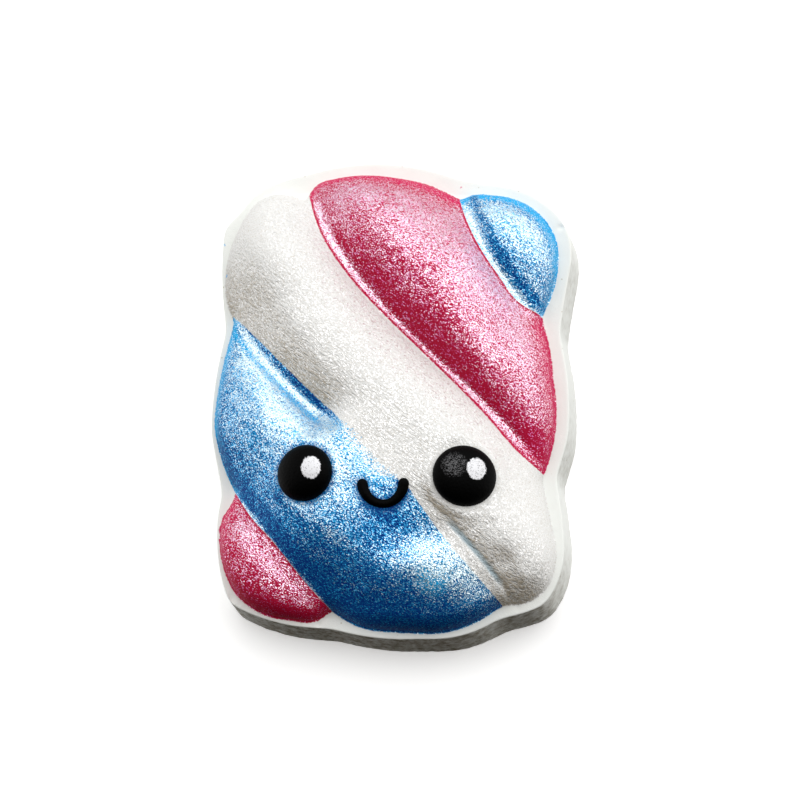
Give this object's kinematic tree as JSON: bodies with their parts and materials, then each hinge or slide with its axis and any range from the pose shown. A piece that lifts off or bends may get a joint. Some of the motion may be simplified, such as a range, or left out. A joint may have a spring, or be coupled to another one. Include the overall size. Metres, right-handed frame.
{
  "type": "marshmallow twist bath bomb",
  "caption": "Pressed bath bomb shaped as a puffy twisted marshmallow with slanting pink, white and blue lobes, domed eyes and a small smile on a flat slab.",
  "frame": {"origin": "middle of the flat back, on the surface that the block lies on", "axes": "+Z out of the face, +Y to the top of the face along the block's length, +X to the right as seen from the front"},
  "size_m": [0.0702, 0.0942, 0.026],
  "materials": {
    "bare_cast": "matte pressed powder, fine gritty grain",
    "pearl_white": "brushed white mica paint with a fine sparkle",
    "pearl_pink": "brushed pink mica paint with a fine sparkle",
    "pearl_blue": "brushed blue mica paint with a fine sparkle",
    "black_paint": "satin black paint"
  },
  "bodies": {
    "root": {"twist_block": "bare_cast"}
  },
  "joints": []
}
